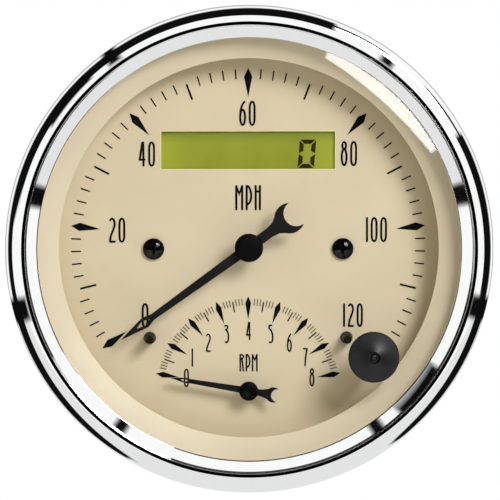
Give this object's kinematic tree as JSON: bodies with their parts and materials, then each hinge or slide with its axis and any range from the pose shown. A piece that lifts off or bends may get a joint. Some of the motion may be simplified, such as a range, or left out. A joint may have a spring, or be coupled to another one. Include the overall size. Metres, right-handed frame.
{
  "type": "dashboard speedometer",
  "caption": "Round chrome-bezel dashboard speedometer with a tachometer sub-dial, crescent-tailed hands, a trip display, a push button through the glass and rear studs.",
  "frame": {"origin": "on the barrel's axis, in the plane where the bezel's rear face seats on the panel", "axes": "-Y out of the dial towards the driver, +Y along the barrel into the dashboard, +Z towards twelve o'clock, +X towards three o'clock"},
  "size_m": [0.136, 0.0985, 0.136],
  "materials": {
    "bezel_chrome": "mirror-polished chrome plate",
    "case_paint": "satin black enamel on drawn steel",
    "gasket_rubber": "matte moulded rubber",
    "lens_glass": "clear flat glass",
    "trim_beige": "satin beige moulding",
    "dial_beige": "matte antique beige print on a translucent sheet",
    "scale_ink": "matte black print",
    "pin_black": "satin black",
    "screw_black": "gloss black oxide",
    "post_aluminium": "turned",
    "display_green": "back-lit liquid crystal panel",
    "display_white": "moulded white",
    "board_green": "solder mask on glass-epoxy laminate",
    "chip_black": "moulded epoxy",
    "zinc_steel": "zinc plate",
    "bobbin_ivory": "moulded",
    "winding_copper": "enamelled copper wire",
    "shield_steel": "deep-drawn steel",
    "bearing_brass": "turned",
    "hand_black": "satin black paint on stamped aluminium",
    "cap_black": "satin black moulding",
    "spindle_steel": "ground",
    "magnet_ferrite": "sintered ferrite",
    "button_rubber": "matte moulded rubber",
    "bushing_black": "moulded nylon",
    "switch_grey": "moulded",
    "block_black": "moulded nylon",
    "blade_brass": "tinned brass",
    "holder_black": "moulded nylon",
    "bulb_glass": "clear lamp glass"
  },
  "bodies": {
    "gauge": {"bezel_ring": "bezel_chrome", "case_shell": "case_paint", "lens_gasket": "gasket_rubber", "lens": "lens_glass", "trim_ring": "trim_beige", "dial_plate": "dial_beige", "speed_scale": "scale_ink", "tach_scale": "scale_ink", "stop_pins": "pin_black", "dial_screws": "screw_black", "dial_posts": "post_aluminium", "display_panel": "display_green", "display_frame": "display_white", "display_diffuser": "display_white", "circuit_board": "board_green", "board_chips": "chip_black", "board_posts": "post_aluminium", "board_screws": "zinc_steel", "speed_bobbin_front": "bobbin_ivory", "speed_bobbin_rear": "bobbin_ivory", "speed_winding_inner": "winding_copper", "speed_winding_outer": "winding_copper", "speed_shield": "shield_steel", "speed_front_bearing": "bearing_brass", "speed_rear_bearing": "bearing_brass", "tach_bobbin_front": "bobbin_ivory", "tach_bobbin_rear": "bobbin_ivory", "tach_winding_inner": "winding_copper", "tach_winding_outer": "winding_copper", "tach_shield": "shield_steel", "tach_front_bearing": "bearing_brass", "tach_rear_bearing": "bearing_brass", "trip_spring": "spindle_steel", "trip_bushing": "bushing_black", "trip_bushing_nut": "bushing_black", "trip_switch": "switch_grey", "terminal_block": "block_black", "terminal_blades": "blade_brass", "mounting_studs": "zinc_steel", "stud_nuts": "zinc_steel", "case_screw": "zinc_steel", "lamp_holders": "holder_black", "lamp_bulbs": "bulb_glass"},
    "speed_pointer": {"speed_hand": "hand_black", "speed_hub_cap": "cap_black", "speed_spindle": "spindle_steel", "speed_rotor": "magnet_ferrite"},
    "tach_pointer": {"tach_hand": "hand_black", "tach_hub_cap": "cap_black", "tach_spindle": "spindle_steel", "tach_rotor": "magnet_ferrite"},
    "trip_button": {"trip_cap": "button_rubber", "trip_stem": "spindle_steel", "trip_clip": "spindle_steel"},
    "switch_plunger": {"trip_switch_plunger": "switch_grey"}
  },
  "joints": [
    {"name": "speed_turn", "type": "hinge", "parent": "gauge", "child": "speed_pointer", "pos_m": [0, 0, 0], "axis": [0, 1, 0], "range_deg": [-3, 254.5]},
    {"name": "tach_turn", "type": "hinge", "parent": "gauge", "child": "tach_pointer", "pos_m": [0, 0, -0.0406], "axis": [0, 1, 0], "range_deg": [-2.6, 163.4]},
    {"name": "trip_press", "type": "slide", "parent": "gauge", "child": "trip_button", "axis": [0, 1, 0], "range_m": [0, 0.0015], "stiffness_N_per_m": 600, "deforming": ["trip_spring"]},
    {"name": "switch_press", "type": "slide", "parent": "gauge", "child": "switch_plunger", "axis": [0, 1, 0], "range_m": [0, 0.0015]}
  ],
  "couplings": [
    {"joint": "switch_press", "follows": "trip_press", "ratio": 1}
  ]
}
